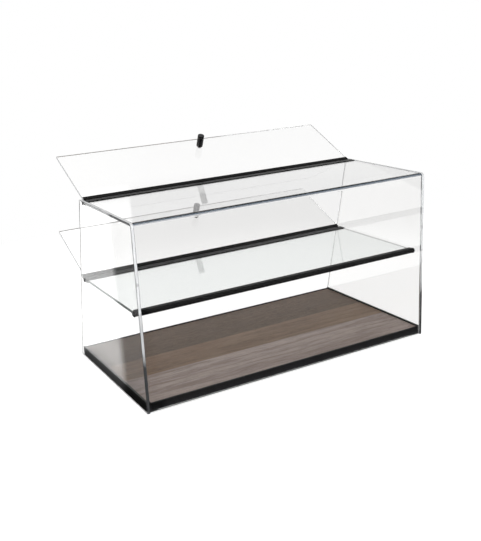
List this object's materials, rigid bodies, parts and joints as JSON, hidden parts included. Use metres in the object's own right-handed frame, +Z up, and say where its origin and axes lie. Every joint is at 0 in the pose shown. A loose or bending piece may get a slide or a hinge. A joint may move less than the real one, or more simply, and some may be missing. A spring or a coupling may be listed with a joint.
{
  "type": "countertop bread display bin",
  "caption": "Clear two-tier countertop display bin with a bent front and top sheet, a glass shelf, a dark wood base and lift-up rear doors on full-width black hinge profiles.",
  "frame": {"origin": "under the middle of the bounding box with both doors raised, on the plane of the feet", "axes": "+X along the width, to the right of someone facing the front; +Y from the front face to the rear doors; +Z up"},
  "size_m": [0.6, 0.4038, 0.4031],
  "materials": {
    "clear_acrylic": "gloss",
    "shelf_glass": "gloss",
    "black_profile": "satin",
    "black_moulding": "satin",
    "black_rail": "satin",
    "wood_board": "matte",
    "black_screw": "satin",
    "steel_screw": "satin",
    "bond_strip": "matte",
    "rubber_foot": "matte"
  },
  "bodies": {
    "cabinet": {"left_side_panel": "clear_acrylic", "right_side_panel": "clear_acrylic", "top_front_sheet": "clear_acrylic", "shelf_glass": "shelf_glass", "shelf_front_profile": "black_profile", "shelf_left_bush": "black_moulding", "shelf_right_bush": "black_moulding", "shelf_rear_profile": "black_profile", "top_rear_profile": "black_profile", "left_end_screws": "black_screw", "right_end_screws": "black_screw", "base_board": "wood_board", "base_left_rail": "black_rail", "base_right_rail": "black_rail", "base_front_trim": "black_rail", "base_rear_rail": "black_rail", "base_screws": "steel_screw", "left_bond_strip": "bond_strip", "right_bond_strip": "bond_strip", "front_bond_strip": "bond_strip", "foot_front_left": "rubber_foot", "foot_front_right": "rubber_foot", "foot_rear_left": "rubber_foot", "foot_rear_right": "rubber_foot"},
    "upper_door": {"upper_door_clamp": "black_profile", "upper_door_panel": "clear_acrylic", "upper_door_knob": "black_moulding", "upper_knob_screw": "steel_screw"},
    "lower_door": {"lower_door_clamp": "black_profile", "lower_door_panel": "clear_acrylic", "lower_door_knob": "black_moulding", "lower_knob_screw": "steel_screw"}
  },
  "joints": [
    {"name": "upper_door_hinge", "type": "hinge", "parent": "cabinet", "child": "upper_door", "pos_m": [0, 0.02354, 0.3233], "axis": [1, 0, 0], "range_deg": [-100, 0]},
    {"name": "lower_door_hinge", "type": "hinge", "parent": "cabinet", "child": "lower_door", "pos_m": [0, 0.06263, 0.1693], "axis": [1, 0, 0], "range_deg": [-100, 0]}
  ]
}
